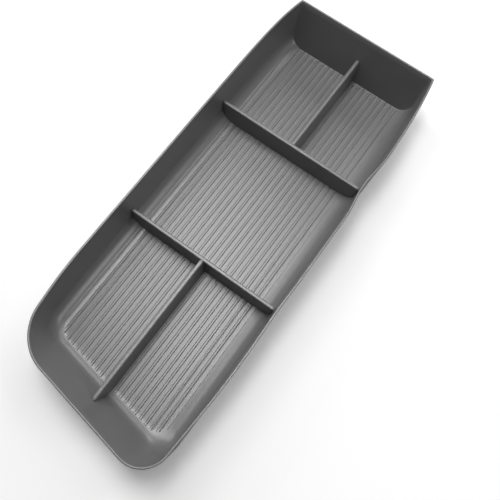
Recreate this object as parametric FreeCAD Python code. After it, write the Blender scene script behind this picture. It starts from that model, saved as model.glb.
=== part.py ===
# Center console organizer tray: one piece, moulded in soft matte rubber.
# A long open tray for the storage well between two car seats. One end is square and steep, and the
# other is cut obliquely, slopes more gently and has large round corners. Two cross dividers and two
# lengthwise ones stand on the floor, lower than the rim, and make five compartments. The floor is
# ribbed lengthwise, and the side walls grow out of it in a large hollow fillet.
#
# Frame: millimetres, +Z up, +X towards the square end, +Y to the left of it. The origin is on the
# underside, in the middle of the tray's length.

import FreeCAD, Part
import math
import os

V = FreeCAD.Vector

# Rim, measured to its outer edge
rim_height = 41.5          # above the surface that the tray rests on
square_end_x = 164.9
belly_half = 63.0          # half the width where the tray is widest
belly_x = -79.7
slant_end_x = -158.1       # where the oblique end crosses the middle plane
slant_angle = 9.65
nose_straight = 6.7        # straight run on the left between the side's curve and the round corner
# Left and right differ a little: half the width at the square end, how late the side turns in
# towards it, half the width at the nose, where the straight run starts, and the round corner.
left_square_half = 57.5
right_square_half = 56.5
left_shoulder_power = 11
right_shoulder_power = 7
left_nose_half = 61.2
right_nose_half = 61.9
left_corner_radius = 33.0
right_corner_radius = 19.0

# Walls and floor. The four walls are always in the order left, right, oblique end, square end.
floor_thickness = 2.2
rim_thickness = 1.5
wall_taper = 1.0           # degrees by which a wall thickens downwards
inner_leans = (1.7, 6.8, 21.1, 13.2)     # degrees outwards from the vertical, inner faces
inner_radii = (8.4, 13.0, 4.5, 0.5)      # hollow fillets between the inner faces and the floor
floor_corner_radius = 8.0

# Dividers
divider_height = 19.8      # above the floor
divider_top = 2.8
divider_draft = 2.2        # degrees on each face
divider_edge = 0.5
wide_divider_x = -35.4     # cross divider between the middle and the two wide compartments
square_divider_x = 70.3    # cross divider before the two compartments at the square end
wide_pinch = 0.7           # how far the right rim is drawn in beside each cross divider
square_pinch = 2.9
pinch_shift = -4.5         # from a cross divider's middle to where the rim is drawn in most
pinch_reach = 24.0         # from there to where the rim is at its full width again

# Floor ribs, lengthwise, as pairs of a deep and a shallow groove
rib_pitch = 4.8
deep_groove_y = 0.84
groove_gap = 1.75          # from a deep groove to the shallow one on its left
deep_groove = (0.75, 0.35, 0.65)      # width at the top and at the bottom, depth
shallow_groove = (0.6, 0.3, 0.4)
ribbed_left = 54.5         # the grooves lie between these distances from the middle plane
ribbed_right = 47.5
rib_margins = (-3.5, -3.0, 1.0, 0.2)  # plain floor beside each wall's fillet, or the run into it

bowl_steps = 8             # narrow strips that make up a hollow fillet
above = 1.0                # how far a cutting solid passes the surface that it cuts


def tan(angle):
    return math.tan(math.radians(angle))


def sin(angle):
    return math.sin(math.radians(angle))


def cos(angle):
    return math.cos(math.radians(angle))


# The left side is 1 and the right side is -1.
square_halves = {1: left_square_half, -1: right_square_half}
shoulder_powers = {1: left_shoulder_power, -1: right_shoulder_power}
nose_halves = {1: left_nose_half, -1: right_nose_half}
corner_radii = {1: left_corner_radius, -1: right_corner_radius}
nose_x = (slant_end_x + left_nose_half * tan(slant_angle) + nose_straight
          + left_corner_radius / tan((90.0 + slant_angle) / 2.0))


def half_width(side, x, share):
    """Half the rim's width at x: flat about the belly, turning in late towards the square end and
    gently towards the nose. share fades the turn at the nose, which the floor doesn't have."""
    if x > belly_x:
        part = (x - belly_x) / (square_end_x - belly_x)
        return belly_half - (belly_half - square_halves[side]) * part ** shoulder_powers[side]
    part = (belly_x - x) / (belly_x - nose_x)
    return belly_half - share * (belly_half - nose_halves[side]) * part ** 2


def nose_slope(side, share):
    """How fast the half width falls at the nose, per unit of length."""
    return share * 2.0 * (belly_half - nose_halves[side]) / (belly_x - nose_x)


def shoulder_slope(side):
    """How fast the half width falls at the square end, per unit of length."""
    return shoulder_powers[side] * (belly_half - square_halves[side]) / (square_end_x - belly_x)


def inset(height, rise, lean, radius):
    """How far a wall stands inside its own rim line at a height above its floor: a straight
    leaning face that ends in an arc tangent to it and to the floor."""
    if height >= radius * (1.0 - sin(lean)):
        return (rise - height) * tan(lean)
    centre = rise * tan(lean) + radius * tan((90.0 - lean) / 2.0)
    return centre - math.sqrt(radius ** 2 - (radius - height) ** 2)


def corner(side, side_in, end_in, radius, share):
    """A round corner between one side and the oblique end: the arc's start on the side, its middle
    and its tip on the oblique end."""
    side_dir = V(1.0, side * nose_slope(side, share), 0.0).normalize()
    end_dir = V(-side * sin(slant_angle), -side * cos(slant_angle), 0.0)
    on_side = V(nose_x, side * (half_width(side, nose_x, share) - side_in), 0.0)
    on_end = V(slant_end_x + end_in / cos(slant_angle), 0.0, 0.0)
    across = V(-end_dir.y, end_dir.x, 0.0)
    meet = on_side + side_dir * ((on_end - on_side).dot(across) / side_dir.dot(across))
    turn = math.pi - side_dir.getAngle(end_dir)
    reach = radius * math.tan(turn / 2.0)
    inward = (side_dir + end_dir).normalize()
    middle = meet + inward * (radius / math.cos(turn / 2.0) - radius)
    return meet + side_dir * reach, middle, meet + end_dir * reach


def pinch_places():
    """Where the right rim is drawn in, and how far."""
    return {square_divider_x + pinch_shift: square_pinch, wide_divider_x + pinch_shift: wide_pinch}


def side_stations(x_end):
    """Where a side curve is set, from near the square end, where it starts at x_end, to the nose."""
    by_square, by_wide = [[x + pinch_reach, x, x - pinch_reach] for x in pinch_places()]
    between = (by_square[-1] + by_wide[0]) / 2.0
    shoulder = (x_end - by_square[0]) / 3.0
    return [x_end - shoulder, x_end - 2.0 * shoulder] + by_square + [between] + by_wide + [nose_x]


def side_curve(side, x_end, side_in, share):
    """The curved part of one side of a ring, from the square end to the nose."""
    points = []
    for x in [x_end] + side_stations(x_end):
        half = half_width(side, x, share) - side_in
        if side < 0:
            half -= share * pinch_places().get(x, 0.0)
        points.append(V(x, side * half, 0.0))
    # every ring has the same parameters, so that the strips between them stay light
    length = square_end_x - nose_x
    parameters = [0.0] + [(square_end_x - x) / length for x in side_stations(square_end_x)]
    curve = Part.BSplineCurve()
    curve.interpolate(Points=points, Parameters=parameters,
                      InitialTangent=V(-1.0, side * shoulder_slope(side), 0.0),
                      FinalTangent=V(-1.0, -side * nose_slope(side, share), 0.0))
    return curve


def ring(z, rise, height, leans, radii, margins):
    """The closed outline of a wall surface at one height above its floor: left side, left corner,
    oblique end, right corner, right side and square end. margins draw each wall further in."""
    insets = [inset(height, rise, lean, radius) + margin
              for lean, radius, margin in zip(leans, radii, margins)]
    slant_foot = inset(0.0, rise, leans[2], radii[2])
    drawn = (insets[2] - margins[2]) / slant_foot
    x_end = square_end_x - insets[3]
    share = min(height / rise, 1.0)
    edges = []
    for side, side_in in ((1, insets[0]), (-1, insets[1])):
        radius = corner_radii[side] + drawn * (floor_corner_radius - corner_radii[side])
        start, middle, tip = corner(side, side_in, insets[2], radius, share)
        curve = side_curve(side, x_end, side_in, share)
        nose = V(nose_x, side * (half_width(side, nose_x, share) - side_in), 0.0)
        if side > 0:
            edges += [curve.toShape(), Part.LineSegment(nose, start).toShape(),
                      Part.Arc(start, middle, tip).toShape()]
            left_tip = tip
            left_end = curve.StartPoint
        else:
            right_end = curve.StartPoint
            curve.reverse()
            edges += [Part.LineSegment(left_tip, tip).toShape(), Part.Arc(tip, middle, start).toShape(),
                      Part.LineSegment(start, nose).toShape(), curve.toShape(),
                      Part.LineSegment(right_end, left_end).toShape()]
    wire = Part.Wire(edges)
    wire.translate(V(0.0, 0.0, z))
    return wire


def wall_solid(bottom, rise, top, leans, radii, thickness=0.0):
    """The solid inside a wall surface that stands on the level bottom, lofted in narrow strips up
    the hollow fillet and then straight up the leaning walls to the level top."""
    fillet_top = max(radius * (1.0 - sin(lean)) for lean, radius in zip(leans, radii))
    deepest = max(radii)
    last = math.acos(1.0 - fillet_top / deepest)
    heights = [deepest * (1.0 - math.cos(last * i / bowl_steps)) for i in range(bowl_steps + 1)]
    rings = [ring(bottom + height, rise, height, leans, radii, [thickness] * 4)
             for height in heights + [top - bottom]]
    return Part.makeLoft(rings, True, True)


def layer(depth):
    """The solid inside a surface within the walls and floor: depth 0 is the tray's outside, and
    depth 1 would be its inside."""
    leans = [lean - wall_taper * (1.0 - depth) for lean in inner_leans]
    radii = [radius + floor_thickness * (1.0 - depth) for radius in inner_radii]
    bottom = floor_thickness * depth
    return wall_solid(bottom, rim_height - bottom, rim_height, leans, radii, rim_thickness * depth)


def inner_solid():
    """The tray's hollow, from the floor to a little above the rim."""
    rise = rim_height - floor_thickness
    return wall_solid(floor_thickness, rise, rim_height + above, inner_leans, inner_radii, rim_thickness)


def groove(y, size):
    """One groove's solid along the whole tray, a little higher than the floor."""
    top, bottom, depth = size
    low = floor_thickness - depth
    high = floor_thickness + above
    outline = [(-bottom / 2, low), (bottom / 2, low), (top / 2, floor_thickness), (top / 2, high),
               (-top / 2, high), (-top / 2, floor_thickness)]
    first_x = slant_end_x - belly_half
    points = [V(first_x, y + side, z) for side, z in outline]
    face = Part.Face(Part.makePolygon(points + points[:1]))
    return face.extrude(V(square_end_x - first_x, 0.0, 0.0))


def grooves():
    """All the grooves, ended beside the fillets of the walls."""
    margins = [rim_thickness + margin for margin in rib_margins]
    rise = rim_height - floor_thickness
    floor = Part.Face(ring(0.0, rise, 0.0, inner_leans, inner_radii, margins))
    floor = floor.extrude(V(0.0, 0.0, rim_height))
    first = -int((ribbed_right + deep_groove_y) / rib_pitch)
    last = int((ribbed_left - deep_groove_y) / rib_pitch)
    cutters = []
    for i in range(first, last + 1):
        y = deep_groove_y + i * rib_pitch
        cutters.append(groove(y, deep_groove))
        if y + groove_gap < ribbed_left:
            cutters.append(groove(y + groove_gap, shallow_groove))
    return Part.makeCompound(cutters).common(floor)


def divider_outline():
    """A divider's section from under the floor to its top, as (across, z) pairs: drafted faces
    and a flat top with chamfered edges."""
    top = floor_thickness + divider_height
    half = divider_top / 2.0
    foot_half = half + top * tan(divider_draft)
    shoulder_half = half + divider_edge * tan(divider_draft)
    return [(-foot_half, 0.0), (foot_half, 0.0), (shoulder_half, top - divider_edge),
            (half - divider_edge, top), (divider_edge - half, top), (-shoulder_half, top - divider_edge)]


def cross_divider(x):
    """A divider across the whole tray, a little wider than it."""
    beyond = belly_half + above
    points = [V(x + across, -beyond, z) for across, z in divider_outline()]
    return Part.Face(Part.makePolygon(points + points[:1])).extrude(V(0.0, 2.0 * beyond, 0.0))


def long_divider(x_from, x_to):
    """A divider along the middle plane."""
    points = [V(x_from, across, z) for across, z in divider_outline()]
    return Part.Face(Part.makePolygon(points + points[:1])).extrude(V(x_to - x_from, 0.0, 0.0))


def dividers():
    """Both cross dividers and both lengthwise ones, before they are trimmed to the walls."""
    return [cross_divider(wide_divider_x), cross_divider(square_divider_x),
            long_divider(slant_end_x - above, wide_divider_x),
            long_divider(square_divider_x, square_end_x + above)]


def organizer_tray():
    shell = layer(0.0).cut(inner_solid()).cut(grooves())
    # the dividers end in the middle of the walls and the floor
    web = dividers()[0].multiFuse(dividers()[1:]).common(layer(0.5))
    return shell.fuse(web)


os.makedirs("parts", exist_ok=True)
tray = organizer_tray()
tray.Solids[0].exportStep("parts/organizer_tray.step")
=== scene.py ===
import math

import bmesh
import bpy
import numpy as np
from mathutils import Matrix, Vector


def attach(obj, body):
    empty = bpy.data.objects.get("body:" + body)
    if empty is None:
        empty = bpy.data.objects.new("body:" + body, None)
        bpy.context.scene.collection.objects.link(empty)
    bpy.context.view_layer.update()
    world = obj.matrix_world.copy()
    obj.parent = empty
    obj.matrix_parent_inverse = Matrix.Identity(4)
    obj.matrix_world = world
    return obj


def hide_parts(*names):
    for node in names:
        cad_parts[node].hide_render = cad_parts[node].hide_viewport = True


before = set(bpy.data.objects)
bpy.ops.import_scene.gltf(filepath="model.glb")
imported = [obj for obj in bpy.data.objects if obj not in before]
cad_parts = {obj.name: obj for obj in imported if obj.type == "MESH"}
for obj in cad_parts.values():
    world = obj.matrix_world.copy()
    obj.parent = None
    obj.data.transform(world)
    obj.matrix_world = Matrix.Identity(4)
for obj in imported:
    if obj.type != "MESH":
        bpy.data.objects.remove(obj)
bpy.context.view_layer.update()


# The tray is one moulding of soft rubber, near enough 330 mm long. Its four walls are drawn first, as
# level outlines that change with height: each is a leaning face that runs into the floor in a hollow
# fillet. Lengths are millimetres, walls are left, right, oblique, square, and the left side is 1.
rim_height, floor_height = 41.5, 2.2
square_end_x, belly_x, slant_end_x, slant_angle = 164.9, -79.7, -158.1, math.radians(9.65)
belly_half = 63.0
side_wall = {1: 0, -1: 1}
square_half = {1: 57.5, -1: 56.5}
shoulder_power = {1: 11.0, -1: 7.0}
nose_half = {1: 61.2, -1: 61.9}
nose_straight = 6.7
rim_corner_radius = {1: 33.0, -1: 19.0}
floor_corner_radius = {1: 9.0, -1: 11.0}
rim_thickness = 1.5
inner_leans = np.radians((1.7, 6.8, 21.1, 13.2))
inner_radii = np.array((11.5, 13.0, 9.0, 0.6))
wall_taper = math.radians(1.0)
outer_leans = inner_leans - wall_taper
outer_radii = inner_radii + 0.8 * floor_height
nose_x = (slant_end_x + nose_half[1] * math.tan(slant_angle) + nose_straight
          + rim_corner_radius[1] / math.tan((math.pi / 2 + slant_angle) / 2))
pinches = ((65.8, 2.5), (-39.9, 0.5))
pinch_reach = 27.0
vertical_corner_radius = 1.1


def half_width(side, x, share):
    """Half the outline's width: the belly's, less a high power of the way to the square end, less the
    square of the way to the nose, carried on straight beyond it, less a squared cosine at each pinch."""
    to_square = np.clip((x - belly_x) / (square_end_x - belly_x), 0.0, None)
    to_nose = np.clip((belly_x - x) / (belly_x - nose_x), 0.0, None)
    turn = np.where(to_nose < 1.0, to_nose ** 2, 2.0 * to_nose - 1.0)
    half = (belly_half - (belly_half - square_half[side]) * to_square ** shoulder_power[side]
            - share * (belly_half - nose_half[side]) * turn)
    if side < 0:
        for centre, depth in pinches:
            near = np.clip(np.abs(x - centre) / pinch_reach, 0.0, 1.0)
            half = half - share * depth * np.cos(near * math.pi / 2) ** 2
    return half


def insets(height, leans, radii, rise):
    """How far each wall stands inside its rim line: the height left times the tangent of the lean, or
    below the fillet's top, the fillet's centre less the circle's half chord."""
    face = (rise - height) * np.tan(leans)
    centre = rise * np.tan(leans) + radii * np.tan((math.pi / 2 - leans) / 2)
    chord = np.sqrt(np.clip(radii ** 2 - (radii - np.minimum(height, radii)) ** 2, 0.0, None))
    return np.where(height >= radii * (1.0 - np.sin(leans)), face, centre - chord)


def corner_circle(side, side_in, end_in, radius, share):
    """The circle that touches a side's straight run and the oblique end: its centre, and the angles at
    which it touches them. The centre is where both lines, moved inwards by the radius, cross."""
    slope = share * 2.0 * (belly_half - nose_half[side]) / (belly_x - nose_x)
    along_side = np.array((1.0, side * slope)) / math.hypot(1.0, slope)
    on_side = np.array((nose_x, side * (half_width(side, nose_x, share) - side_in)))
    on_end = np.array((slant_end_x + end_in / math.cos(slant_angle), 0.0))
    side_normal = side * np.array((along_side[1], -along_side[0]))
    side_normal = side_normal * (-1.0 if side_normal[1] * side > 0 else 1.0)
    end_normal = np.array((math.cos(slant_angle), -math.sin(slant_angle)))
    sides = np.array((side_normal, end_normal))
    centre = np.linalg.solve(sides, (sides * (on_side, on_end)).sum(axis=1) + radius)
    touch_side, touch_end = centre - radius * side_normal, centre - radius * end_normal
    angles = [math.atan2(*(touch - centre)[::-1]) % (2 * math.pi) for touch in (touch_side, touch_end)]
    return centre, angles[0], angles[1]


# The floor inside those walls carries its ribs, moulded in with it: pairs of a deep and a shallow groove
# run lengthwise. They end just short of the two end walls, and the outer ones fade in the side fillets.
# The ribbed part of the floor reaches up each fillet as far as the edge height.
rib_pitch, deep_y, shallow_y = 4.8, -0.2, 1.38
deep_depth, deep_half_width = 0.65, 0.28
shallow_depth, shallow_half_width = 0.28, 0.20
ribbed = (-47.0, 54.5)
run_out = {1: 7.5, -1: 4.0}
end_margins = (0.45, 0.3)
groove_end = 0.6
floor_rise = rim_height - floor_height
edge_height = 0.326


def inner_outline(height):
    """What shapes the inner outline at a height above the floor: the walls' insets, both corner radii
    and the share of the way up to the rim."""
    wall_insets = insets(height, inner_leans, inner_radii, floor_rise)
    drawn = wall_insets[2] / insets(0.0, inner_leans, inner_radii, floor_rise)[2]
    radii = {side: radius - rim_thickness + drawn * (floor_corner_radius[side] - radius + rim_thickness)
             for side, radius in rim_corner_radius.items()}
    return wall_insets + rim_thickness, radii, height / floor_rise


foot = insets(0.0, inner_leans, inner_radii, floor_rise) + rim_thickness
edge, edge_radius, edge_share = inner_outline(edge_height)
edge_circles = {side: corner_circle(side, edge[wall], edge[2], edge_radius[side], edge_share)
                for side, wall in side_wall.items()}
edge_end_x = square_end_x - edge[3]


def edge_half(side, x):
    """Half the ribbed floor's width on one side: the outline's, less the inset of that wall there."""
    return half_width(side, x, edge_share) - edge[side_wall[side]]


def edge_start_x(y):
    """Where the ribbed floor begins at the oblique end: on the slanting line, or on the round corners'
    circles, the centre less the half chord."""
    x = slant_end_x + edge[2] / math.cos(slant_angle) + y * math.tan(slant_angle)
    for side, (centre, _, touch_end) in edge_circles.items():
        tip_y = centre[1] + edge_radius[side] * math.sin(touch_end)
        chord = np.sqrt(np.clip(edge_radius[side] ** 2 - (y - centre[1]) ** 2, 0.0, None))
        x = np.where(side * (y - tip_y) > 0, centre[0] - chord, x)
    return x


def fillet_rise(x, y):
    """How high the fillets stand at a place near the floor's edge: the height whose outline passes
    through it, found between a few outlines by the sign of the distance to each."""
    level_count = 14
    levels = edge_height * np.linspace(0.0, 1.0, level_count) ** 2
    inside = []
    for level in levels:
        wall_insets, radii, share = inner_outline(level)
        within = np.minimum(half_width(1, x, share) - wall_insets[0] - y,
                            half_width(-1, x, share) - wall_insets[1] + y)
        within = np.minimum(within, square_end_x - wall_insets[3] - x)
        line = (x - slant_end_x) * math.cos(slant_angle) - y * math.sin(slant_angle) - wall_insets[2]
        within = np.minimum(within, line)
        for side in (1, -1):
            centre, touch_side, touch_end = corner_circle(
                side, wall_insets[side_wall[side]], wall_insets[2], radii[side], share)
            tip = centre + radii[side] * np.array((math.cos(touch_end), math.sin(touch_end)))
            start_x = centre[0] + radii[side] * math.cos(touch_side)
            along = -side * ((x - tip[0]) * math.sin(slant_angle) + (y - tip[1]) * math.cos(slant_angle))
            round_here = (along < 0.0) & (x < start_x) & (side * (y - centre[1]) > -radii[side])
            distance = radii[side] - np.hypot(x - centre[0], y - centre[1])
            within = np.where(round_here, np.minimum(within, distance), within)
        inside.append(within)
    inside = np.array(inside)
    upper = np.clip(np.argmax(inside >= 0.0, axis=0), 1, level_count - 1)
    low = np.take_along_axis(inside, upper[None] - 1, axis=0)[0]
    high = np.take_along_axis(inside, upper[None], axis=0)[0]
    part = np.clip(-low / np.maximum(high - low, 1e-9), 0.0, 1.0)
    level = np.sqrt(levels[upper - 1]) + part * (np.sqrt(levels[upper]) - np.sqrt(levels[upper - 1]))
    level = np.where(inside[0] >= 0.0, 0.0, level ** 2)
    return np.where(inside[-1] < 1e-6, edge_height, level)


def smooth_step(value):
    """Rises from 0 to 1 with level ends: three squares less two cubes of the clipped value."""
    value = np.clip(value, 0.0, 1.0)
    return value * value * (3.0 - 2.0 * value)


def groove_depth(x, y):
    """How far the ribs' grooves lie below the floor: flat-bottomed steps of the distance to the nearest
    groove line, faded at both ends and along the run into a side's fillet."""
    depth = np.zeros_like(y)
    flank = 0.5
    for line, deep, half in ((deep_y, deep_depth, deep_half_width),
                             (shallow_y, shallow_depth, shallow_half_width)):
        index = np.round((y - line) / rib_pitch)
        centre = line + index * rib_pitch
        cut = smooth_step((half - np.abs(y - centre)) / (flank * half))
        depth = np.maximum(depth, deep * cut * ((centre > ribbed[0]) & (centre < ribbed[1])))
    along = np.minimum(x - edge_start_x(y) - end_margins[0], edge_end_x - end_margins[1] - x)
    fade = smooth_step(along / groove_end)
    for side in (1, -1):
        beyond = side * y - half_width(side, x, 0.0) + foot[side_wall[side]]
        fade = fade * (1.0 - np.clip(beyond / run_out[side], 0.0, 1.0))
    return depth * fade


# Columns of the floor's mesh run lengthwise. They are close together at every groove's edges, and at
# equal angles round the two corners, so that the same ones carry on up the corners of the walls.
corner_columns = 60
pairs_each_way = 12
column_gap = 0.1
squeeze_margin = 1.0
columns = {}
for side, (centre, touch_side, touch_end) in edge_circles.items():
    turn = (touch_end - touch_side + math.pi) % (2 * math.pi) - math.pi
    angles = touch_side + turn * np.linspace(0.0, 1.0, corner_columns + 1)
    columns[side] = centre[1] + edge_radius[side] * np.sin(angles)
beside = np.array((-1.4, -1.0, -0.75, -0.5, 0.0, 0.5, 0.75, 1.0, 1.4))
offsets = np.concatenate((deep_half_width * beside, (0.8, ),
                          shallow_y - deep_y + shallow_half_width * beside, (2.3, 2.8, 3.3, 3.8, 4.15)))
pair_places = rib_pitch * np.arange(-pairs_each_way, pairs_each_way)
between = (deep_y + offsets[None, :] + pair_places[:, None]).ravel()
between = between[(between > columns[-1][-1] + column_gap) & (between < columns[1][-1] - column_gap)]
column_y = np.concatenate((columns[-1], between, columns[1][::-1]))
starts = np.array((0.0, 0.12, 0.24, 0.36, 0.48, 0.6, 0.8, 1.6, 3.0, 5.0, 8.0))
start_x = edge_start_x(column_y) + end_margins[0]
end_x = np.full_like(start_x, edge_end_x - end_margins[1])
belly_rows = np.linspace(0.0, 1.0, 62)[1:-1]
x = np.concatenate((start_x[None, :] + starts[:, None],
                    start_x + starts[-1] + (end_x - start_x - 2.0 * starts[-1]) * belly_rows[:, None],
                    end_x[None, :] - starts[::-1, None]))
y = np.broadcast_to(column_y, x.shape)
for side in (1, -1):
    widest = side * column_y[-1 if side > 0 else 0]
    kept = edge_half(side, edge_end_x) - squeeze_margin
    squeezed = kept + (side * y - kept) * (edge_half(side, x) - kept) / (widest - kept)
    y = np.where(side * y > kept, side * squeezed, y)
rise = fillet_rise(x, y)
rise[:, 0] = rise[:, -1] = edge_height
floor_grid = np.stack((x, y, floor_height + rise - groove_depth(x, y)), axis=-1)


# Every wall outline has the same number of points, shared out between its sides, corners and ends in
# the proportions of the floor's own edge, so that outlines join to each other and to the floor.
pick_step, straight_picks = 3, 60
last_column = len(column_y) - 1
end_picks = np.linspace(corner_columns, last_column - corner_columns, straight_picks).round().astype(int)
end_picks = np.unique(np.concatenate((np.arange(0, corner_columns, pick_step), end_picks,
                                      np.arange(last_column, last_column + 1 - corner_columns, -pick_step))))
side_rows = {side: np.concatenate(((edge_start_x(column_y)[column], ), x[:, column], (edge_end_x, )))
             for side, column in ((1, -1), (-1, 0))}


def outline(height, wall_insets, radii, share, rounding):
    """One level outline, anticlockwise from the square end's left corner: the left side, the oblique end
    with both corner circles, the right side and the square end. Points keep their proportions."""
    end_line = square_end_x - wall_insets[3]
    circles = {side: corner_circle(side, wall_insets[wall], wall_insets[2], radii[side], share)
               for side, wall in side_wall.items()}
    sides = {}
    for side in (1, -1):
        centre, touch_side, touch_end = circles[side]
        first_x = centre[0] + radii[side] * math.cos(touch_side)
        parts = (side_rows[side] - side_rows[side][0]) / (edge_end_x - side_rows[side][0])
        side_x = first_x + (end_line - first_x) * parts
        half = half_width(side, side_x, share) - wall_insets[side_wall[side]]
        sides[side] = np.stack((side_x, side * half), axis=-1)
    picked = column_y[end_picks]
    ends = np.zeros((len(picked), 2))
    tips = {}
    for side in (1, -1):
        centre, touch_side, touch_end = circles[side]
        edge_centre, edge_side, edge_end = edge_circles[side]
        turn = (touch_end - touch_side + math.pi) % (2 * math.pi) - math.pi
        edge_turn = (edge_end - edge_side + math.pi) % (2 * math.pi) - math.pi
        reach = np.clip((picked - edge_centre[1]) / edge_radius[side], -1.0, 1.0)
        here = math.pi - np.arcsin(reach)
        part = ((here - edge_side + math.pi) % (2 * math.pi) - math.pi) / edge_turn
        round_here = side * (end_picks - last_column / 2) >= last_column / 2 - corner_columns
        angle = touch_side + turn * np.clip(part, 0.0, 1.0)
        ends[round_here] = (centre + radii[side] * np.stack((np.cos(angle), np.sin(angle)), -1))[round_here]
        tips[side] = (centre + radii[side] * np.array((math.cos(touch_end), math.sin(touch_end))),
                      edge_centre[1] + edge_radius[side] * math.sin(edge_end))
    straight = (end_picks > corner_columns) & (end_picks < last_column - corner_columns)
    part = (picked - tips[-1][1]) / (tips[1][1] - tips[-1][1])
    line = tips[-1][0] + (tips[1][0] - tips[-1][0]) * part[:, None]
    ends[straight] = line[straight]
    last_y = floor_grid[-1, :, 1]
    square_y = sides[-1][-1, 1] + (sides[1][-1, 1] - sides[-1][-1, 1]) * (
        (last_y[end_picks] - last_y[0]) / (last_y[-1] - last_y[0]))
    square = np.stack((np.full_like(square_y, end_line), square_y), axis=-1)
    loop = np.concatenate((sides[1][::-1], ends[::-1][1:-1], sides[-1], square[1:-1]))
    loop = np.concatenate((loop, np.full((len(loop), 1), height)), axis=1)
    return round_square_corners(loop, rounding)


def round_square_corners(loop, rounding):
    """Draws the points near each of the two square corners inwards: by a quarter of the rounding at the
    corner, less and less by the square of the way to twice the rounding."""
    if rounding <= 0.0:
        return loop
    left = loop[0].copy()
    right = loop[len(side_rows[1]) + len(end_picks) - 2 + len(side_rows[-1]) - 1].copy()
    for corner, side in ((left, 1), (right, -1)):
        away = np.hypot(loop[:, 0] - corner[0], loop[:, 1] - corner[1])
        near = away < 2.0 * rounding
        pull = 0.25 * rounding * (1.0 - away / (2.0 * rounding)) ** 2
        loop[near, 0] -= pull[near]
        loop[near, 1] -= side * pull[near]
    return loop


# Outlines stand close together where the grooves run out in the left fillet, then at equal turns of
# the right one's circle, and far apart up the leaning faces.
first_run = math.sqrt(inner_radii[0] ** 2 - (inner_radii[0] - edge_height) ** 2)
fine_run = np.arange(first_run, 7.2, 0.17)
fine_heights = inner_radii[0] - np.sqrt(inner_radii[0] ** 2 - fine_run ** 2)
first_turn = math.degrees(math.acos(1.0 - fine_heights[-1] / inner_radii[1]))
turn_step, last_turn = 3.0, 84.0
fillet_turns = np.radians(np.arange(first_turn + turn_step, last_turn, turn_step))
fillet_heights = np.concatenate((fine_heights, inner_radii[1] * (1.0 - np.cos(fillet_turns))))
wall_heights = np.linspace(12.5, floor_rise - 0.7, 8)
groove_reach, round_rise = 3.0, 3.0
rings = []
for height in np.concatenate((fillet_heights, wall_heights)):
    wall_insets, radii, share = inner_outline(height)
    ring = outline(floor_height + height, wall_insets, radii, share,
                   vertical_corner_radius * min(1.0, (height - edge_height) / round_rise))
    ring[:, 2] -= groove_depth(ring[:, 0], ring[:, 1]) * (height < groove_reach)
    rings.append(ring)

# The rim is level, with both edges rounded, and the outer faces follow the inner ones down at an even
# wall thickness to a flat underside. Nothing there was ever cut or finished: it is as it was moulded.
rim_round = 0.5
rim_turns = np.radians(np.linspace(0.0, 90.0, 6))
rim_steps = [(rim_round * (1 - math.cos(turn)), rim_height - rim_round * (1 - math.sin(turn)))
             for turn in rim_turns]
inner_steps = [(rim_thickness - inset, height) for inset, height in rim_steps]
for inset, height in inner_steps + rim_steps[::-1]:
    radii = {side: radius - inset for side, radius in rim_corner_radius.items()}
    rings.append(outline(height, np.full(4, inset), radii, 1.0, vertical_corner_radius))
outer_turns = np.radians(np.arange(last_turn, -1.0, -2.0 * turn_step))
outer_heights = np.concatenate((np.linspace(rim_height - 1.5, 16.0, 6),
                                outer_radii[1] * (1.0 - np.cos(outer_turns))))
for height in outer_heights:
    wall_insets = insets(height, outer_leans, outer_radii, rim_height)
    drawn = wall_insets[2] / insets(0.0, outer_leans, outer_radii, rim_height)[2]
    radii = {side: radius + drawn * (floor_corner_radius[side] - radius)
             for side, radius in rim_corner_radius.items()}
    rings.append(outline(height, wall_insets, radii, height / rim_height, vertical_corner_radius))
rings = np.array(rings)


# Two cross dividers and two lengthwise ones stand on the floor, well below the rim, moulded in one with
# it. Their faces are drafted, their top edges are soft, and their ends are buried in the walls.
divider_top_z, divider_half_top, divider_draft, divider_edge = 22.0, 1.4, math.radians(2.2), 0.9
divider_x = (-35.4, 70.3)
divider_foot_z = 1.4
length_rows = 40
crossing_step = 0.01    # the lengthwise tops lie this much lower, so that no two faces share a plane


def divider_section():
    """Across and height of one divider's section, from its foot up over the top and down: drafted lines
    and two quarter circles."""
    heights = np.concatenate((np.linspace(divider_foot_z, 6.0, 8),
                              np.linspace(7.0, divider_top_z - divider_edge, 8)))
    face = divider_half_top + (divider_top_z - heights) * math.tan(divider_draft)
    turns = np.radians(np.linspace(0.0, 90.0, 7))[1:]
    round_across = divider_half_top - divider_edge + divider_edge * np.cos(turns)
    round_heights = divider_top_z - divider_edge + divider_edge * np.sin(turns)
    across = np.concatenate((face, round_across))
    up = np.concatenate((heights, round_heights))
    return np.concatenate((-across, across[::-1])), np.concatenate((up, up[::-1]))


def wall_middle(height, wall):
    """How far the middle of a wall's thickness lies inside its rim line at each of some heights."""
    depth = 0.5 * floor_height
    above_floor = np.maximum(height - depth, 0.05)[:, None]
    middle = insets(above_floor, inner_leans - 0.5 * wall_taper, inner_radii + depth, rim_height - depth)
    return middle[:, wall] + 0.5 * rim_thickness


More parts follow.
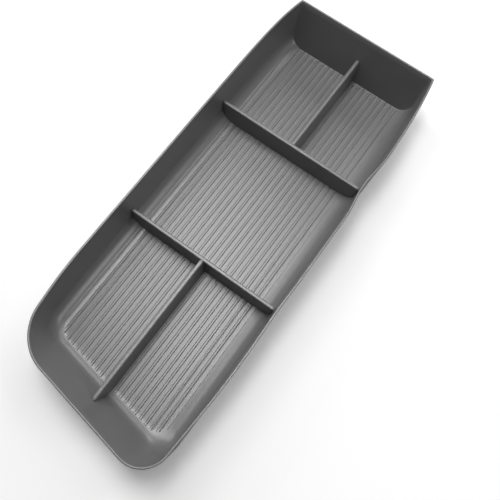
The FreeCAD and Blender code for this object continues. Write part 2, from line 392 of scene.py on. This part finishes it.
across, up = divider_section()
divider_grids = []
share = up / rim_height
run = np.linspace(0.0, 1.0, length_rows)[:, None]
grid_shape = (length_rows, len(up))
for middle in divider_x:
    left_y = half_width(1, middle, share) - wall_middle(up, 0)
    right_y = -(half_width(-1, middle, share) - wall_middle(up, 1))
    divider_grids.append(np.stack((np.broadcast_to(middle + across, grid_shape),
                                   right_y + (left_y - right_y) * run,
                                   np.broadcast_to(up, grid_shape)), axis=-1)[::-1])
oblique_x = slant_end_x + wall_middle(up, 2) / math.cos(slant_angle) + across * math.tan(slant_angle)
square_x = square_end_x - wall_middle(up, 3)
for first_x, last_x in ((oblique_x, np.full_like(up, divider_x[0])),
                        (np.full_like(up, divider_x[1]), square_x)):
    divider_grids.append(np.stack((first_x + (last_x - first_x) * run,
                                   np.broadcast_to(across, grid_shape),
                                   np.broadcast_to(up - crossing_step, grid_shape)), axis=-1))


# The moulding is all of that in one mesh. Its material is a black rubber compound that is greyed by
# fillers, with the fine even grain of a spark-eroded tool and a broad satin gloss.
seam_width = 2e-6
millimetre = 0.001


def grid_faces(shape, first, closed=False):
    """Four-sided faces between neighbours of a grid whose points are numbered from first. They point
    along the way from row to row crossed with the way from column to column."""
    rows, count = shape
    index = first + np.arange(rows * count).reshape(rows, count)
    if closed:
        index = np.concatenate((index, index[:, :1]), axis=1)
    corners = (index[1:, :-1], index[1:, 1:], index[:-1, 1:], index[:-1, :-1])
    return np.stack(corners, axis=-1).reshape(-1, 4).tolist()


def moulding_mesh():
    """Joins the floor, the outlines and the dividers. The strips between the floor's ends and the first
    outline are flat faces with a few of the floor's points on one side. Where the floor's sides meet
    the first outline, points closer than the seam's width are merged, so that the shell is closed."""
    rows, count = floor_grid.shape[:2]
    points = [floor_grid.reshape(-1, 3)]
    faces = grid_faces((rows, count), 0)
    first = rows * count
    ring_count, ring_points = rings.shape[:2]
    points.append(rings.reshape(-1, 3))
    faces += grid_faces((ring_count, ring_points), first, True)
    underside = list(range(first + (ring_count - 1) * ring_points, first + ring_count * ring_points))
    faces.append(underside[::-1])
    left_count, right_count = len(side_rows[1]), len(side_rows[-1])
    end_start = left_count - 1
    end_ring = first + end_start + np.arange(len(end_picks))[::-1]
    right_start = end_start + len(end_picks) - 1
    square_ring = first + np.concatenate((
        [right_start + right_count - 1], right_start + right_count + np.arange(len(end_picks) - 2), [0]))
    for low, high, near, far in zip(end_picks[:-1], end_picks[1:], end_ring[:-1], end_ring[1:]):
        faces.append([int(near)] + list(range(low, high + 1)) + [int(far)])
    last_row = (rows - 1) * count
    for low, high, near, far in zip(end_picks[:-1], end_picks[1:], square_ring[:-1], square_ring[1:]):
        faces.append([int(far)] + list(range(last_row + high, last_row + low - 1, -1)) + [int(near)])
    first += ring_count * ring_points
    for grid in divider_grids:
        rows, count = grid.shape[:2]
        points.append(grid.reshape(-1, 3))
        faces += grid_faces((rows, count), first)
        near_end = list(range(first, first + count))
        far_end = list(range(first + (rows - 1) * count, first + rows * count))
        faces += [near_end, far_end[::-1]]
        faces += [[first + (row + 1) * count - 1, first + (row + 2) * count - 1,
                   first + (row + 1) * count, first + row * count] for row in range(rows - 1)]
        first += rows * count
    mesh = bpy.data.meshes.new("tray_moulding")
    mesh.from_pydata((np.concatenate(points) * millimetre).tolist(), [], faces)
    shell = bmesh.new()
    shell.from_mesh(mesh)
    bmesh.ops.remove_doubles(shell, verts=shell.verts, dist=seam_width)
    shell.to_mesh(mesh)
    shell.free()
    mesh.polygons.foreach_set("use_smooth", np.ones(len(mesh.polygons), dtype=bool))
    mesh.update()
    return mesh


def rubber_material():
    """Near-black rubber with a broad satin gloss and a very fine even grain as bump."""
    material = bpy.data.materials.new("moulded_rubber")
    material.use_nodes = True
    nodes = material.node_tree.nodes
    links = material.node_tree.links
    shader = nodes["Principled BSDF"]
    shader.inputs["Base Color"].default_value = (0.15, 0.15, 0.15, 1.0)
    shader.inputs["Roughness"].default_value = 0.38
    shader.inputs["IOR"].default_value = 1.55
    shader.inputs["Specular IOR Level"].default_value = 1.0
    place = nodes.new("ShaderNodeTexCoord")
    grain = nodes.new("ShaderNodeTexNoise")
    grain.inputs["Scale"].default_value = 1800.0
    grain.inputs["Detail"].default_value = 3.0
    bump = nodes.new("ShaderNodeBump")
    bump.inputs["Distance"].default_value = 0.00006
    bump.inputs["Strength"].default_value = 0.6
    links.new(place.outputs["Object"], grain.inputs["Vector"])
    links.new(grain.outputs["Fac"], bump.inputs["Height"])
    links.new(bump.outputs["Normal"], shader.inputs["Normal"])
    return material


moulding = bpy.data.objects.new("tray_moulding", moulding_mesh())
bpy.context.scene.collection.objects.link(moulding)
moulding.data.materials.append(rubber_material())
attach(moulding, "root")
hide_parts("organizer_tray")


# The studio: a white sweep that the tray stands on, seen as white and still taking its shadow, and soft
# boxes all round. The overhead ones put the gloss along the middle of the floor, and the three low ones
# lift the walls.
def white_sweep():
    """A level sheet, four metres across, at the height of the tray's underside."""
    half = 2.0
    mesh = bpy.data.meshes.new("white_sweep")
    mesh.from_pydata([(-half, -half, 0.0), (half, -half, 0.0), (half, half, 0.0), (-half, half, 0.0)],
                     [], [(0, 1, 2, 3)])
    sweep = bpy.data.objects.new("white_sweep", mesh)
    bpy.context.scene.collection.objects.link(sweep)
    material = bpy.data.materials.new("white_paper")
    material.use_nodes = True
    nodes = material.node_tree.nodes
    links = material.node_tree.links
    shader = nodes["Principled BSDF"]
    shader.inputs["Roughness"].default_value = 1.0
    shader.inputs["Specular IOR Level"].default_value = 0.0
    path = nodes.new("ShaderNodeLightPath")
    paper = nodes.new("ShaderNodeMix")
    paper.data_type = "RGBA"
    paper.inputs["A"].default_value = (0.6, 0.6, 0.6, 1.0)
    paper.inputs["B"].default_value = (1.0, 1.0, 1.0, 1.0)
    links.new(path.outputs["Is Camera Ray"], paper.inputs["Factor"])
    links.new(paper.outputs["Result"], shader.inputs["Base Color"])
    shader.inputs["Emission Color"].default_value = (1.0, 1.0, 1.0, 1.0)
    glow = nodes.new("ShaderNodeMath")
    glow.operation = "MULTIPLY"
    glow.inputs[1].default_value = 0.12
    links.new(path.outputs["Is Camera Ray"], glow.inputs[0])
    links.new(glow.outputs["Value"], shader.inputs["Emission Strength"])
    mesh.materials.append(material)
    return sweep


white_sweep()

world = bpy.data.worlds.new("studio")
bpy.context.scene.world = world
world.use_nodes = True
background = world.node_tree.nodes["Background"]
background.inputs["Color"].default_value = (1.0, 1.0, 1.0, 1.0)
world_path = world.node_tree.nodes.new("ShaderNodeLightPath")
world.node_tree.links.new(world_path.outputs["Is Camera Ray"], background.inputs["Strength"])


def soft_lamp(name, place, size, power):
    """A square soft box that faces the tray's middle."""
    lamp = bpy.data.lights.new(name, "AREA")
    lamp.size = size
    lamp.energy = power
    holder = bpy.data.objects.new(name, lamp)
    holder.location = place
    holder.rotation_euler = Vector(place).to_track_quat("Z", "Y").to_euler()
    bpy.context.scene.collection.objects.link(holder)


for name, place, size, power in (("near_end_box", (-0.10, -0.05, 1.1), 0.35, 0.82),
                                 ("overhead_box", (0.08, 0.12, 1.1), 0.3, 3.3),
                                 ("middle_box", (0.30, 0.22, 1.0), 0.3, 1.65),
                                 ("far_right_box", (0.60, -0.30, 0.9), 0.4, 1.6),
                                 ("far_left_box", (0.20, 0.60, 0.9), 0.4, 2.15),
                                 ("low_end_box", (1.05, 0.20, 0.6), 0.5, 3.35),
                                 ("low_left_box", (0.10, 1.05, 0.6), 0.5, 3.1),
                                 ("low_right_box", (0.10, -1.05, 0.6), 0.5, 2.9)):
    soft_lamp(name, place, size, power)


# The camera stands above the oblique end and looks down along the tray, which lies aslant in the
# picture. Its place and turns were found from the photo's vanishing point and the tray's corners.
def photo_camera():
    """A camera at a place in metres, turned by yaw about the vertical, then tilt and roll."""
    place = Vector((-0.1235, -0.0859, 0.4159))
    yaw, tilt, roll = (math.radians(angle) for angle in (-60.175, 18.126, 6.139))
    focal_px, picture_px, film_width = 614.7, 500.0, 36.0
    turn = Matrix.Rotation(yaw, 3, "Z") @ Matrix.Rotation(tilt, 3, "X") @ Matrix.Rotation(roll, 3, "Z")
    lens = bpy.data.cameras.new("photo_camera")
    lens.sensor_width = film_width
    lens.lens = focal_px / picture_px * film_width
    lens.clip_start = 0.01
    holder = bpy.data.objects.new("photo_camera", lens)
    holder.matrix_world = Matrix.Translation(place) @ turn.to_4x4()
    bpy.context.scene.collection.objects.link(holder)
    return holder


bpy.context.scene.camera = photo_camera()
bpy.context.scene.view_settings.view_transform = "Standard"
